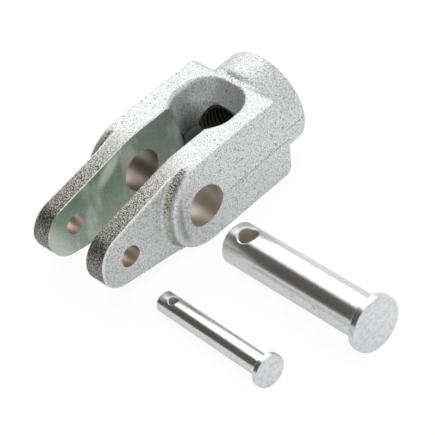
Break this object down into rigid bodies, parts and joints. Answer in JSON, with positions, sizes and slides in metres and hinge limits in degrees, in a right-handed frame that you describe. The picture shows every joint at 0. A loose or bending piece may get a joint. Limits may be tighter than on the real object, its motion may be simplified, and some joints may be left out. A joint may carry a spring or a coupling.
{
  "type": "clevis rod end",
  "caption": "Forged clevis yoke with a threaded barrel, drafted legs and rounded pads, with its two headed clevis pins lying beside it.",
  "frame": {"origin": "centre of the large clevis pin bore, midway between the two legs", "axes": "+X parallel to the rod thread, out of the barrel; +Y along the pin bores, away from the loose pins; +Z across the legs, up"},
  "size_m": [0.0816, 0.1017, 0.0309],
  "materials": {
    "forged_zinc": "zinc-plated steel forging, lightly grained",
    "pin_zinc": "bright zinc plate over turned steel"
  },
  "bodies": {
    "root": {"clevis_yoke": "forged_zinc", "large_clevis_pin": "pin_zinc", "small_clevis_pin": "pin_zinc"}
  },
  "joints": []
}
